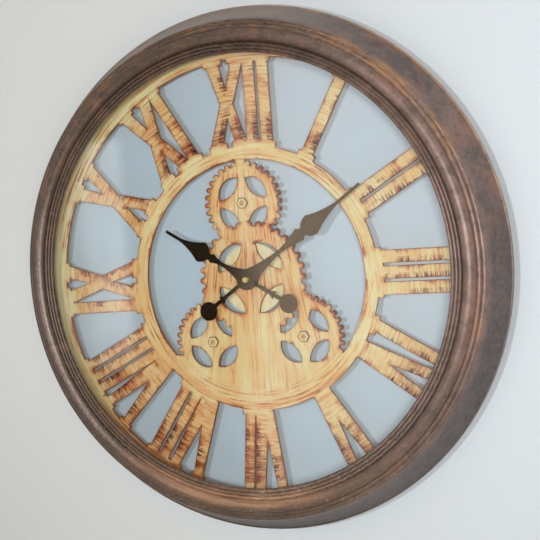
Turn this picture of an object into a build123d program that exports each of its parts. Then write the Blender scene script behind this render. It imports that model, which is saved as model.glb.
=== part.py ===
from build123d import *
import math
import os

os.makedirs("parts", exist_ok=True)

# A round wall clock with a skeleton dial of four gears and roman numerals.
# Sizes are in millimetres. The wall is the plane y = 0 and the clock faces -Y.
# Depths are measured out from the wall, and the bezel's axis is x = 0, z = 0.

# Stack of pieces on the arbor, from the wall outwards
wall_gap = 5.0
cover_depth = 4.0
case_depth = 12.0
rubber_thickness = 1.0
disc_thickness = 2.0
dial_thickness = 3.0
cover_back = wall_gap
case_back = cover_back + cover_depth
case_front = case_back + case_depth
disc_back = case_front + rubber_thickness
dial_back = disc_back + disc_thickness
dial_front = dial_back + dial_thickness

# Bezel moulding: widths inwards from the rim, and depths in front of the dial
rim_radius = 303.0
rim_wall = 5.0
rim_step = 1.4
rim_depth = 4.6
rim_cover = 1.5
flank_width = 19.8
flank_hollow = 1.4
ridge_height = 34.0
outer_beads_width = 9.8
bead_depth = 1.7
torus_width = 15.2
torus_height = 46.4
inner_beads_width = 12.1
inner_beads = 3
lip_height = 40.6
lip_thickness = 2.6
shoulder_width = 21.0
throat_height = 17.0
ridge_radius = rim_radius - flank_width
torus_outer = ridge_radius - outer_beads_width
torus_inner = torus_outer - torus_width
lip_radius = torus_inner - inner_beads_width
rebate_radius = rim_radius - rim_wall
shoulder_radius = rebate_radius - shoulder_width

# Glass and its retaining ring
glass_thickness = 2.5
glass_lap = 12.9
glass_pocket = lip_radius + glass_lap
glass_clearance = 0.4
retainer_width = 7.0
retainer_thickness = 3.0

# Dial plate, resting at the bottom of the bezel's rebate
dial_drop = 9.0
dial_clearance = 0.5
margin_width = 34.5
head_inset = 4.6
ring_inner = 138.0
ring_width = 15.8
foot_rise = 6.5
dial_radius = rebate_radius - dial_clearance - dial_drop
margin_radius = dial_radius - margin_width
head_radius = margin_radius - head_inset
ring_outer = ring_inner + ring_width
foot_radius = ring_outer + foot_rise
stroke_reach = head_radius - foot_radius

# Roman numerals, drawn along their own radius
stroke_width = 14.4
stroke_gap = 3.2
cross_gap = 0.2
serif = 3.8
vee_head = 42.8
wide_vee = 48.0
narrow_stroke = 12.4
vee_foot = 20.0
vee_arm = 11.4
vee_notch = foot_radius + 0.322 * stroke_reach
cross_head = 53.0
cross_foot = 54.0
cross_head_gap = 19.0
cross_foot_gap = 22.0
cross_waist = 16.3
cross_middle = foot_radius + 0.479 * stroke_reach
cross_head_notch = foot_radius + 0.681 * stroke_reach
cross_foot_notch = foot_radius + 0.3 * stroke_reach

# Gear cluster of the dial
top_tilt = 3.2
low_tilt = 2.0
gear_teeth = 32
small_tip = 49.0
tooth_length = 5.4
small_tooth = 6.0
small_reach = 88.0
low_reach = 91.2
low_spread = 39.3
large_tip = 67.0
large_tooth = 7.6
small_leaf = (24.0, 17.2, 10.0, 7.0)
large_leaf = (34.6, 22.0, 12.0, 8.0)
large_leaf_shift = (-2.0, 0.5)
fill_width = 62.0
fill_level = 87.5
fill_top = 47.0
stub_bar = (23.0, 4.6)
stub_neck = 12.0

# Backing disc, bolts and the clock's fixing hardware
disc_radius = 41.0
bolt_flats = 12.4
bolt_head = 2.4
bolt_boss_radius = 5.2
bolt_boss = 1.0
bolt_shank = 2.5
bolt_nut_flats = 8.0
bolt_nut_height = 3.0
bolt_end = 0.6
bushing_radius = 4.0
bushing_reach = 7.5
bushing_flange = 6.0
flange_thickness = 1.2
washer_radius = 9.0
washer_thickness = 0.8
nut_flats = 12.0
nut_height = 3.0
rubber_radius = 13.0
hole_clearance = 0.2
running_clearance = 0.05
thread_clearance = 0.03

# Arbors and hands
hour_tube_radius = 2.5
minute_radius = 1.75
hour_level = 11.6
minute_level = 15.8
hand_thickness = 0.9
hand_nut_radius = 3.4
hand_nut_height = 2.6
hand_nut_dome = 1.2
hand_boss_rise = 0.6
hand_cap_radius = 10.8
minute_time = 55.4
hour_time = 301.1
hour_outline = ((1.6, 118.5), (2.0, 96.0), (12.4, 67.5), (4.2, 56.5), (5.6, 51.0), (2.4, 33.0))
hour_tail = (37.5, 57.0)
minute_outline = ((1.6, 175.0), (1.9, 140.0), (12.2, 103.0), (5.0, 90.0), (8.2, 84.5), (2.3, 52.0))
minute_tail = (40.0, 61.5)
hand_boss = 12.0
hand_weight = 11.0
hand_stem = 4.4
spade_hollow = 1.6
spade_bulge = 2.0
neck_hollow = 0.9
blade_hollow = 1.3
barb_half = 5.4
barb_height = 5.0

# Quartz movement
case_width = 56.0
case_wall = 1.5
case_corner = 4.0
module = 0.6
cannon_teeth = 10
motion_teeth = 30
pinion_teeth = 8
hour_teeth = 32
root_share = 0.46
tip_share = 0.20
addendum = 0.7
dedendum = 1.0
pinion_lead = 1.4
motion_direction = 40.0
wheel_thickness = 1.2
centre_wheel_radius = 10.2
third_wheel_radius = 8.5
third_ratio = 10.0
third_direction = 150.0
rotor_direction = 135.0
rotor_radius = 3.0
rotor_pinion = 0.85
mesh_gap = 0.3
axial_gap = 0.5
motion_arbor = 0.9
fine_arbor = 0.5
end_shake = 0.1
knob_radius = 5.0
knob_thickness = 3.2
knob_gap = 0.3
knob_grips = 10
knob_grip_radius = 0.6
battery_radius = 7.1
battery_length = 50.5
battery_nub = 1.2
battery_nub_radius = 2.7
battery_level = -19.0
rib_thickness = 1.0
contact_thickness = 0.6
contact_width = 10.0
stator_margin = 5.5
stator_clearance = 0.6
stator_thickness = 1.0
core_width = 3.5
coil_radius = 3.6
coil_length = 20.0
board_size = (13.0, 10.0)
board_thickness = 1.0

# Back ring, its screws, the hanger and the wall bumpers
back_clearance = 7.0
back_width = 17.0
back_outer = rebate_radius - back_clearance
back_inner = back_outer - back_width
bumper_thickness = 1.5
bumper_radius = 7.0
bumper_spread = 25.0
screw_inset = 8.0
screw_circle = back_outer - screw_inset
screw_angles = (15, 90, 150, 210, 270, 345)
screw_radius = 1.9
screw_head = 3.8
screw_head_height = 2.5
screw_seat = 9.0
screw_bite = 10.0
screw_clearance = 0.15
hanger_width = 60.0
hanger_thickness = 2.0
hanger_hang = 24.0
hanger_low = back_inner - hanger_hang
hanger_hole = 4.5
hanger_slot = 2.5
hanger_slot_rise = 8.0
hanger_hole_drop = 14.0
hanger_hole_level = back_inner - hanger_hole_drop
hanger_screw_span = 40.0
hanger_screw_radius = 1.5
hanger_screw_length = 12.0
hanger_head = 3.2
hanger_head_height = 1.2

# Places that follow from the sizes above
bezel_back = dial_back - rim_cover
rim_front = bezel_back + rim_depth
lip_front = dial_front + lip_height
glass_front = lip_front - lip_thickness
glass_back = glass_front - glass_thickness
dial_axis = -dial_drop
ring_middle = (ring_inner + ring_outer) / 2
stroke_head = margin_radius + serif
small_root = small_tip - tooth_length
large_root = large_tip - tooth_length
hour_hand_back = dial_front + hour_level
minute_hand_back = dial_front + minute_level
cavity_back = cover_back + case_wall
cavity_front = case_front - case_wall
mesh_distance = module * (cannon_teeth + motion_teeth) / 2
knob_back = cover_back - knob_gap - knob_thickness
spring_length = case_width - 2 * case_wall - 2 * contact_thickness - battery_length


def front_plane(depth, level=0.0, across=0.0):
    return Plane(origin=(across, -depth, level), x_dir=(1, 0, 0), z_dir=(0, -1, 0))


def hand_plane(depth, clock_angle):
    turn = math.radians(clock_angle)
    x_dir = (math.cos(turn), 0, -math.sin(turn))
    return Plane(origin=(0, -depth, dial_axis), x_dir=x_dir, z_dir=(0, -1, 0))


def polar(radius, degrees_up):
    turn = math.radians(degrees_up)
    return (radius * math.cos(turn), radius * math.sin(turn))


def clock_point(radius, clock_angle):
    return polar(radius, 90 - clock_angle)


def write(piece, name):
    piece.part.label = name
    export_step(piece.part, f"parts/{name}.step")


# Bezel: one moulded ring, turned from its section of beads, torus and flank
screw_points = [clock_point(screw_circle, angle) for angle in screw_angles]
with BuildPart() as bezel:
    with BuildSketch(Plane.XY):
        with BuildLine():
            ridge = (ridge_radius, -(dial_front + ridge_height))
            valley = (torus_outer, -(dial_front + lip_height - bead_depth))
            foot = (torus_inner, -lip_front)
            flank_start = (rim_radius - rim_step, -rim_front)
            Polyline(
                (rebate_radius, -bezel_back),
                (rim_radius, -bezel_back),
                (rim_radius, -rim_front),
                flank_start,
            )
            flank_mid = (
                (flank_start[0] + ridge[0]) / 2 - flank_hollow,
                (flank_start[1] + ridge[1]) / 2 + flank_hollow / 2,
            )
            ThreePointArc(flank_start, flank_mid, ridge)
            quirk = ((ridge[0] + valley[0]) / 2, (ridge[1] + valley[1]) / 2)
            for start, end in ((ridge, quirk), (quirk, valley)):
                top = ((start[0] + end[0]) / 2 + bead_depth / 2, (start[1] + end[1]) / 2 - bead_depth)
                ThreePointArc(start, top, end)
            torus_top = ((torus_outer + torus_inner) / 2, -(dial_front + torus_height))
            ThreePointArc(valley, torus_top, foot)
            bead_width = (torus_inner - lip_radius) / inner_beads
            for index in range(inner_beads):
                start = torus_inner - index * bead_width
                ThreePointArc(
                    (start, -lip_front),
                    (start - bead_width / 2, -lip_front - bead_depth),
                    (start - bead_width, -lip_front),
                )
            Polyline(
                (lip_radius, -lip_front),
                (lip_radius, -glass_front),
                (glass_pocket, -glass_front),
                (glass_pocket, -(glass_back - retainer_thickness)),
                (shoulder_radius, -(dial_front + throat_height)),
                (shoulder_radius, -dial_front),
                (rebate_radius, -dial_front),
                (rebate_radius, -bezel_back),
            )
        make_face()
    revolve(axis=Axis.Y)
    with BuildSketch(front_plane(dial_front)):
        with Locations(*screw_points):
            Circle(screw_radius + screw_clearance)
    extrude(amount=screw_bite + end_shake, mode=Mode.SUBTRACT)
write(bezel, "bezel")

# Glass, lying behind the lip
glass_radius = glass_pocket - glass_clearance
with BuildPart() as glass:
    with BuildSketch(front_plane(glass_back)):
        Circle(glass_radius)
    extrude(amount=glass_thickness)
write(glass, "glass")

# Retaining ring behind the glass
with BuildPart() as glass_retainer:
    with BuildSketch(front_plane(glass_back - retainer_thickness)):
        Circle(glass_radius)
        Circle(glass_radius - retainer_width, mode=Mode.SUBTRACT)
    extrude(amount=retainer_thickness)
write(glass_retainer, "glass_retainer")


# Faces of the dial's gears, each a toothed disc with four leaf-shaped windows
def leaf_face(half_length, outer_bulge, inner_bulge):
    with BuildSketch() as leaf:
        with BuildLine():
            ThreePointArc((0, -half_length), (outer_bulge, 0), (0, half_length))
            ThreePointArc((0, half_length), (-inner_bulge, 0), (0, -half_length))
        make_face()
    return leaf.sketch


def gear_face(tip_radius, root_radius, tooth_width, leaf_place, window, shift):
    slot_length = 2 * (tip_radius - root_radius) + tooth_width
    with BuildSketch() as gear:
        Circle(root_radius)
        with PolarLocations(tip_radius - slot_length / 2, gear_teeth):
            SlotOverall(slot_length, tooth_width)
        with Locations(shift):
            with PolarLocations(leaf_place, 4, start_angle=45):
                add(window, mode=Mode.SUBTRACT)
    return gear.sketch


small_window = leaf_face(*small_leaf[1:])
large_window = leaf_face(*large_leaf[1:])
small_gear = gear_face(small_tip, small_root, small_tooth, small_leaf[0], small_window, (0, 0))
large_gear = gear_face(large_tip, large_root, large_tooth, large_leaf[0], large_window, large_leaf_shift)
top_gear = clock_point(small_reach, -top_tilt)
left_gear = clock_point(low_reach, 180 + low_spread - low_tilt)
right_gear = clock_point(low_reach, 180 - low_spread - low_tilt)
low_gears = (left_gear, right_gear)
small_gears = (top_gear, left_gear, right_gear)


# Roman numerals: rows of glyphs on a radius, with their feet on the chapter ring
def glyph_outline(letter, middle, stroke, vee):
    if letter == "I":
        half = stroke / 2
        ends = ((-half, ring_middle), (half, ring_middle), (half, stroke_head), (-half, stroke_head))
    elif letter == "V":
        mouth = vee / 2 - vee_arm
        ends = (
            (-vee_foot / 2, ring_middle),
            (vee_foot / 2, ring_middle),
            (vee / 2, stroke_head),
            (mouth, stroke_head),
            (0, vee_notch),
            (-mouth, stroke_head),
            (-vee / 2, stroke_head),
        )
    else:
        ends = (
            (-cross_foot / 2, ring_middle),
            (-cross_foot_gap / 2, ring_middle),
            (0, cross_foot_notch),
            (cross_foot_gap / 2, ring_middle),
            (cross_foot / 2, ring_middle),
            (cross_waist / 2, cross_middle),
            (cross_head / 2, stroke_head),
            (cross_head_gap / 2, stroke_head),
            (0, cross_head_notch),
            (-cross_head_gap / 2, stroke_head),
            (-cross_head / 2, stroke_head),
            (-cross_waist / 2, cross_middle),
        )
    return [(middle + u, v) for u, v in ends]


def glyph_middles(row, stroke, vee):
    widths = {"I": stroke, "V": vee, "X": cross_head - 2 * serif}
    middles = [widths[row[0]] / 2]
    for before, letter in zip(row, row[1:]):
        gap = cross_gap if "X" in before + letter else stroke_gap
        middles.append(middles[-1] + widths[before] / 2 + gap + widths[letter] / 2)
    total = middles[-1] + widths[row[-1]] / 2
    return [middle - total / 2 for middle in middles]


def edge_at(low, high, level):
    share = (level - low[1]) / (high[1] - low[1])
    return low[0] + share * (high[0] - low[0])


def serif_spans(letter, middle, stroke, vee, at_head):
    if letter == "I":
        spans = [(-stroke / 2, stroke / 2)]
    elif letter == "V":
        outer = edge_at((vee_foot / 2, ring_middle), (vee / 2, stroke_head), head_radius)
        inner = edge_at((0, vee_notch), (vee / 2 - vee_arm, stroke_head), head_radius)
        spans = [(-outer, -inner), (inner, outer)] if at_head else []
    else:
        gap = cross_head_gap if at_head else cross_foot_gap
        wide = cross_head if at_head else cross_foot
        notch = cross_head_notch if at_head else cross_foot_notch
        end = stroke_head if at_head else ring_middle
        level = head_radius if at_head else foot_radius
        outer = edge_at((cross_waist / 2, cross_middle), (wide / 2, end), level)
        inner = edge_at((0, notch), (gap / 2, end), level)
        spans = [(-outer, -inner), (inner, outer)]
    return [(middle + low - serif, middle + high + serif) for low, high in spans]


def band_face(inner, outer, low, high):
    start = 90 - math.degrees(math.asin(high / outer))
    size = math.degrees(math.asin(high / outer)) - math.degrees(math.asin(low / outer))
    with BuildSketch() as band:
        with BuildLine():
            far = CenterArc((0, 0), outer, start, size)
            near = CenterArc((0, 0), inner, start, size)
            Line(far @ 0, near @ 0)
            Line(far @ 1, near @ 1)
        make_face()
    return band.sketch


# Each row: letters, clock angle, stroke width and width of its V
numeral_rows = (
    ("XII", -0.25, stroke_width, vee_head),
    ("I", 29.7, stroke_width, vee_head),
    ("II", 60.0, stroke_width, vee_head),
    ("III", 90.0, stroke_width, vee_head),
    ("IV", 120.0, stroke_width, vee_head),
    ("V", 150.0, stroke_width, vee_head),
    ("V", 178.5, stroke_width, vee_head),
    ("I", 185.2, narrow_stroke, vee_head),
    ("V", 204.9, stroke_width, wide_vee),
    ("II", 214.4, narrow_stroke, vee_head),
    ("V", 231.2, stroke_width, wide_vee),
    ("III", 243.1, narrow_stroke, vee_head),
    ("IX", 269.0, stroke_width, vee_head),
    ("X", 300.3, stroke_width, vee_head),
    ("XI", 328.0, stroke_width, vee_head),
)

# Dial plate: margin, chapter ring, numerals and gear cluster cut from one sheet
with BuildPart() as dial_plate:
    with BuildSketch(front_plane(dial_back, dial_axis)):
        Circle(dial_radius)
        Circle(margin_radius, mode=Mode.SUBTRACT)
        Circle(ring_outer)
        Circle(ring_inner, mode=Mode.SUBTRACT)
        for row, clock_angle, stroke, vee in numeral_rows:
            with Locations(Location((0, 0), -clock_angle)):
                for letter, middle in zip(row, glyph_middles(row, stroke, vee)):
                    Polygon(*glyph_outline(letter, middle, stroke, vee), align=None)
                    for low, high in serif_spans(letter, middle, stroke, vee, at_head=False):
                        add(band_face(ring_middle, foot_radius, low, high))
                    for low, high in serif_spans(letter, middle, stroke, vee, at_head=True):
                        add(band_face(head_radius, stroke_head, low, high))
        with BuildLine():
            half_chord = math.sqrt(ring_middle**2 - fill_level**2)
            ThreePointArc((-half_chord, -fill_level), (0, -ring_middle), (half_chord, -fill_level))
            Line((half_chord, -fill_level), (-half_chord, -fill_level))
        make_face()
        with Locations((0, -(fill_top + ring_inner) / 2)):
            Rectangle(fill_width, ring_inner - fill_top)
        with Locations(*low_gears):
            with PolarLocations(small_leaf[0], 2, start_angle=225, angular_range=180):
                add(small_window, mode=Mode.SUBTRACT)
        with Locations(*low_gears):
            add(small_gear)
        with Locations(large_leaf_shift):
            with PolarLocations(large_leaf[0], 4, start_angle=45):
                add(large_window, mode=Mode.SUBTRACT)
        add(large_gear)
        with Locations(top_gear):
            add(small_gear)
        for side, gear in ((-1, left_gear), (1, right_gear)):
            knee = (gear[0] + side * small_root * 0.3, gear[1] + small_root * 0.9)
            Polygon(
                (side * large_root, -tooth_length * 2),
                (side * large_root * 0.8, -tooth_length * 2),
                gear,
                knee,
                align=None,
            )
        with Locations((top_gear[0], ring_inner - stub_bar[1] * 1.3)):
            Rectangle(*stub_bar)
        with Locations((top_gear[0], ring_inner)):
            Rectangle(stub_neck, stub_bar[1] * 2)
        Circle(bushing_radius + hole_clearance, mode=Mode.SUBTRACT)
        with Locations(*small_gears):
            Circle(bolt_shank + hole_clearance, mode=Mode.SUBTRACT)
        with Locations(*[(x, z + dial_drop) for x, z in screw_points]):
            Circle(screw_radius + hole_clearance, mode=Mode.SUBTRACT)
    extrude(amount=dial_thickness)
write(dial_plate, "dial_plate")

# Backing disc behind the large gear
with BuildPart() as backing_disc:
    with BuildSketch(front_plane(disc_back, dial_axis)):
        Circle(disc_radius)
        Circle(bushing_radius + hole_clearance, mode=Mode.SUBTRACT)
    extrude(amount=disc_thickness)
write(backing_disc, "backing_disc")

# Gear bolts: hexagon heads with a round boss, and nuts behind the dial
bolt_back = dial_back - bolt_nut_height - bolt_end
with BuildPart() as gear_bolts:
    with BuildSketch(front_plane(dial_front, dial_axis)):
        with Locations(*small_gears):
            RegularPolygon(bolt_flats / 2, 6, major_radius=False)
    extrude(amount=bolt_head)
    with BuildSketch(front_plane(dial_front + bolt_head, dial_axis)):
        with Locations(*small_gears):
            Circle(bolt_boss_radius)
    extrude(amount=bolt_boss, taper=25)
    with BuildSketch(front_plane(bolt_back, dial_axis)):
        with Locations(*small_gears):
            Circle(bolt_shank)
    extrude(amount=dial_front - bolt_back)
write(gear_bolts, "gear_bolts")

with BuildPart() as gear_bolt_nuts:
    with BuildSketch(front_plane(dial_back - bolt_nut_height, dial_axis)):
        with Locations(*small_gears):
            RegularPolygon(bolt_nut_flats / 2, 6, major_radius=False)
            Circle(bolt_shank + thread_clearance, mode=Mode.SUBTRACT)
    extrude(amount=bolt_nut_height)
write(gear_bolt_nuts, "gear_bolt_nuts")

# Back ring, which clamps the dial and stands the clock off the wall
hanger_points = [(-hanger_screw_span / 2, screw_circle), (hanger_screw_span / 2, screw_circle)]
hanger_top = math.sqrt(back_outer**2 - (hanger_width / 2) ** 2) - hole_clearance
with BuildPart() as back_ring:
    with BuildSketch(front_plane(bumper_thickness)):
        Circle(back_outer)
        Circle(back_inner, mode=Mode.SUBTRACT)
    extrude(amount=dial_back - bumper_thickness)
    with BuildSketch(front_plane(bumper_thickness)):
        with Locations((0, back_outer)):
            Rectangle(hanger_width + 2 * hole_clearance, 2 * (back_outer - back_inner) + hanger_width)
    extrude(amount=hanger_thickness, mode=Mode.SUBTRACT)
    with BuildSketch(front_plane(bumper_thickness)):
        with Locations(*screw_points):
            Circle(screw_head + screw_clearance)
    extrude(amount=screw_seat - bumper_thickness, mode=Mode.SUBTRACT)
    with BuildSketch(front_plane(screw_seat)):
        with Locations(*screw_points):
            Circle(screw_radius + screw_clearance)
    extrude(amount=dial_back - screw_seat, mode=Mode.SUBTRACT)
    with BuildSketch(front_plane(bumper_thickness)):
        with Locations(*hanger_points):
            Circle(hanger_screw_radius + thread_clearance)
    extrude(amount=hanger_screw_length + end_shake, mode=Mode.SUBTRACT)
write(back_ring, "back_ring")

# Screws through the back ring and the dial's margin into the bezel
with BuildPart() as ring_screws:
    with BuildSketch(front_plane(screw_seat - screw_head_height)):
        with Locations(*screw_points):
            Circle(screw_head)
    extrude(amount=screw_head_height)
    with BuildSketch(front_plane(screw_seat)):
        with Locations(*screw_points):
            Circle(screw_radius)
    extrude(amount=dial_front + screw_bite - screw_seat)
write(ring_screws, "ring_screws")

# Hanger plate with a keyhole, let into the back ring at the top
with BuildPart() as hanger_plate:
    with BuildSketch(front_plane(bumper_thickness)):
        with Locations((0, (hanger_top + hanger_low) / 2)):
            RectangleRounded(hanger_width, hanger_top - hanger_low, case_corner)
        with Locations((0, hanger_hole_level)):
            Circle(hanger_hole, mode=Mode.SUBTRACT)
        with Locations((0, hanger_hole_level + hanger_slot_rise / 2)):
            Rectangle(2 * hanger_slot, hanger_slot_rise, mode=Mode.SUBTRACT)
        with Locations((0, hanger_hole_level + hanger_slot_rise)):
            Circle(hanger_slot, mode=Mode.SUBTRACT)
        with Locations(*hanger_points):
            Circle(hanger_screw_radius + screw_clearance, mode=Mode.SUBTRACT)
    extrude(amount=hanger_thickness)
write(hanger_plate, "hanger_plate")

with BuildPart() as hanger_screws:
    with BuildSketch(front_plane(bumper_thickness - hanger_head_height)):
        with Locations(*hanger_points):
            Circle(hanger_head)
    extrude(amount=hanger_head_height)
    with BuildSketch(front_plane(bumper_thickness)):
        with Locations(*hanger_points):
            Circle(hanger_screw_radius)
    extrude(amount=hanger_screw_length)
write(hanger_screws, "hanger_screws")

# Felt bumpers low on the back ring
bumper_circle = (back_inner + back_outer) / 2
with BuildPart() as wall_bumpers:
    with BuildSketch(front_plane(0)):
        with Locations(
            clock_point(bumper_circle, 180 - bumper_spread),
            clock_point(bumper_circle, 180 + bumper_spread),
        ):
            Circle(bumper_radius)
    extrude(amount=bumper_thickness)
write(wall_bumpers, "wall_bumpers")

# Places inside the movement, across and up from the arbor
cavity_width = case_width - 2 * case_wall
cavity_corner = case_corner - case_wall
bushing_back = cavity_front - flange_thickness
hour_wheel_back = bushing_back - wheel_thickness - axial_gap
motion_wheel_back = hour_wheel_back - wheel_thickness - pinion_lead
centre_wheel_back = motion_wheel_back - wheel_thickness - pinion_lead
third_wheel_back = centre_wheel_back - wheel_thickness - pinion_lead
pivot_back = cavity_back + end_shake
pivot_front = cavity_front - end_shake
motion_place = polar(mesh_distance, motion_direction)
third_pinion = centre_wheel_radius / third_ratio
third_place = polar(centre_wheel_radius + third_pinion + mesh_gap, third_direction)
rotor_step = polar(third_wheel_radius + rotor_pinion + mesh_gap, rotor_direction)
rotor_place = (third_place[0] + rotor_step[0], third_place[1] + rotor_step[1])
core_level = cavity_width / 2 - coil_radius - end_shake
stator_back = (motion_wheel_back + cavity_front) / 2 - stator_thickness * 2
stator_front = stator_back + stator_thickness
stator_left = rotor_place[0] - stator_margin
stator_right = coil_length
post_places = ((stator_left + core_width / 2, core_level), (stator_right - core_width / 2, core_level))
battery_depth = cavity_front - battery_radius - end_shake
battery_start = -cavity_width / 2 + contact_thickness + spring_length
battery_end = battery_start + battery_length


def movement_plane(depth, place=(0.0, 0.0)):
    return front_plane(depth, dial_axis + place[1], place[0])


def side_plane(across, depth, level):
    return Plane(origin=(across, -depth, dial_axis + level), x_dir=(0, 1, 0), z_dir=(1, 0, 0))


def gear_outline(teeth, phase):
    pitch_radius = module * teeth / 2
    corners = (
        (pitch_radius - dedendum * module, root_share, -1),
        (pitch_radius + addendum * module, tip_share, -1),
        (pitch_radius + addendum * module, tip_share, 1),
        (pitch_radius - dedendum * module, root_share, 1),
    )
    points = []
    for index in range(teeth):
        middle = phase + 360 * index / teeth
        for radius, share, side in corners:
            points.append(polar(radius, middle + side * share * 180 / teeth))
    return points


# Movement case, a shallow box open to the rear
with BuildPart() as movement_case:
    with BuildSketch(movement_plane(case_back)):
        RectangleRounded(case_width, case_width, case_corner)
    extrude(amount=case_depth)
    with BuildSketch(movement_plane(case_back)):
        RectangleRounded(cavity_width, cavity_width, cavity_corner)
    extrude(amount=case_depth - case_wall, mode=Mode.SUBTRACT)
    with BuildSketch(movement_plane(case_back)):
        with Locations((0, battery_level + battery_radius + rib_thickness / 2 + hole_clearance)):
            Rectangle(cavity_width, rib_thickness)
    extrude(amount=case_depth - case_wall)
    with BuildSketch(movement_plane(stator_front)):
        with Locations(*post_places):
            Circle(core_width / 3)
    extrude(amount=cavity_front - stator_front)
    with BuildSketch(movement_plane(cavity_front)):
        Circle(bushing_radius + thread_clearance)
    extrude(amount=case_wall, mode=Mode.SUBTRACT)
write(movement_case, "movement_case")

# Movement cover with the open battery bay and the hole for the setting arbor
bay_width = 2 * battery_radius + 2 * hole_clearance
with BuildPart() as movement_cover:
    with BuildSketch(movement_plane(cover_back)):
        RectangleRounded(case_width, case_width, case_corner)
    extrude(amount=cover_depth)
    with BuildSketch(movement_plane(cavity_back)):
        RectangleRounded(cavity_width, cavity_width, cavity_corner)
    extrude(amount=cover_depth - case_wall, mode=Mode.SUBTRACT)
    with BuildSketch(movement_plane(cover_back)):
        with Locations((0, battery_level)):
            Rectangle(cavity_width - 2 * hole_clearance, bay_width)
        with Locations(motion_place):
            Circle(motion_arbor + running_clearance)
    extrude(amount=case_wall, mode=Mode.SUBTRACT)
write(movement_cover, "movement_cover")

# Threaded bushing and the pieces that clamp the movement to the dial
with BuildPart() as threaded_bushing:
    with BuildSketch(movement_plane(bushing_back)):
        Circle(bushing_flange)
    extrude(amount=flange_thickness)
    with BuildSketch(movement_plane(cavity_front)):
        Circle(bushing_radius)
    extrude(amount=dial_front + bushing_reach - cavity_front)
    with BuildSketch(movement_plane(bushing_back)):
        Circle(hour_tube_radius + running_clearance)
    extrude(amount=dial_front + bushing_reach - bushing_back, mode=Mode.SUBTRACT)
write(threaded_bushing, "threaded_bushing")

with BuildPart() as rubber_washer:
    with BuildSketch(movement_plane(case_front)):
        Circle(rubber_radius)
        Circle(bushing_radius + hole_clearance, mode=Mode.SUBTRACT)
    extrude(amount=rubber_thickness)
write(rubber_washer, "rubber_washer")

with BuildPart() as brass_washer:
    with BuildSketch(movement_plane(dial_front)):
        Circle(washer_radius)
        Circle(bushing_radius + hole_clearance, mode=Mode.SUBTRACT)
    extrude(amount=washer_thickness)
write(brass_washer, "brass_washer")

with BuildPart() as fixing_nut:
    with BuildSketch(movement_plane(dial_front + washer_thickness)):
        RegularPolygon(nut_flats / 2, 6, major_radius=False)
        Circle(bushing_radius + thread_clearance, mode=Mode.SUBTRACT)
    extrude(amount=nut_height)
write(fixing_nut, "fixing_nut")

# Hour wheel with its long tube
with BuildPart() as hour_wheel:
    with BuildSketch(movement_plane(hour_wheel_back)):
        Polygon(*gear_outline(hour_teeth, motion_direction), align=None)
    extrude(amount=wheel_thickness)
    with BuildSketch(movement_plane(hour_wheel_back)):
        Circle(hour_tube_radius)
    extrude(amount=hour_hand_back + hand_thickness + end_shake - hour_wheel_back)
    with BuildSketch(movement_plane(hour_wheel_back)):
        Circle(minute_radius + running_clearance)
    extrude(amount=hour_hand_back + hand_thickness + end_shake - hour_wheel_back, mode=Mode.SUBTRACT)
write(hour_wheel, "hour_wheel")

# Minute arbor with the centre wheel and the cannon pinion
minute_hand_front = minute_hand_back + hand_thickness
with BuildPart() as minute_wheel:
    with BuildSketch(movement_plane(pivot_back)):
        Circle(minute_radius)
    extrude(amount=minute_hand_front + hand_boss_rise + hand_nut_height - pivot_back)
    with BuildSketch(movement_plane(centre_wheel_back)):
        Circle(centre_wheel_radius)
    extrude(amount=wheel_thickness)
    with BuildSketch(movement_plane(motion_wheel_back - pinion_lead / 2)):
        Polygon(*gear_outline(cannon_teeth, motion_direction), align=None)
    extrude(amount=wheel_thickness + pinion_lead)
write(minute_wheel, "minute_wheel")

# Motion wheel and pinion, on the arbor of the setting knob
motion_phase = 180 + motion_direction
with BuildPart() as motion_wheel:
    with BuildSketch(movement_plane(motion_wheel_back, motion_place)):
        Polygon(*gear_outline(motion_teeth, motion_phase + 180 / motion_teeth), align=None)
    extrude(amount=wheel_thickness)
    with BuildSketch(movement_plane(motion_wheel_back + wheel_thickness, motion_place)):
        Polygon(*gear_outline(pinion_teeth, motion_phase + 180 / pinion_teeth), align=None)
    extrude(amount=pinion_lead + wheel_thickness)
    with BuildSketch(movement_plane(knob_back, motion_place)):
        Circle(motion_arbor)
    extrude(amount=pivot_front - knob_back)
write(motion_wheel, "motion_wheel")

with BuildPart() as set_knob:
    with BuildSketch(movement_plane(knob_back, motion_place)):
        Circle(knob_radius)
        Circle(motion_arbor + thread_clearance, mode=Mode.SUBTRACT)
        with PolarLocations(knob_radius, knob_grips):
            Circle(knob_grip_radius, mode=Mode.SUBTRACT)
    extrude(amount=knob_thickness)
write(set_knob, "set_knob")

# Third wheel and stepping rotor of the quartz train
with BuildPart() as third_wheel:
    with BuildSketch(movement_plane(third_wheel_back, third_place)):
        Circle(third_wheel_radius)
    extrude(amount=wheel_thickness)
    with BuildSketch(movement_plane(third_wheel_back + wheel_thickness, third_place)):
        Circle(third_pinion)
    extrude(amount=pinion_lead + wheel_thickness)
    with BuildSketch(movement_plane(pivot_back, third_place)):
        Circle(fine_arbor)
    extrude(amount=pivot_front - pivot_back)
write(third_wheel, "third_wheel")

with BuildPart() as step_rotor:
    with BuildSketch(movement_plane(stator_back - stator_thickness, rotor_place)):
        Circle(rotor_radius)
    extrude(amount=3 * stator_thickness)
    with BuildSketch(movement_plane(third_wheel_back - pinion_lead / 2, rotor_place)):
        Circle(rotor_pinion)
    extrude(amount=wheel_thickness + pinion_lead)
    with BuildSketch(movement_plane(pivot_back, rotor_place)):
        Circle(fine_arbor)
    extrude(amount=pivot_front - pivot_back)
write(step_rotor, "step_rotor")

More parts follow.
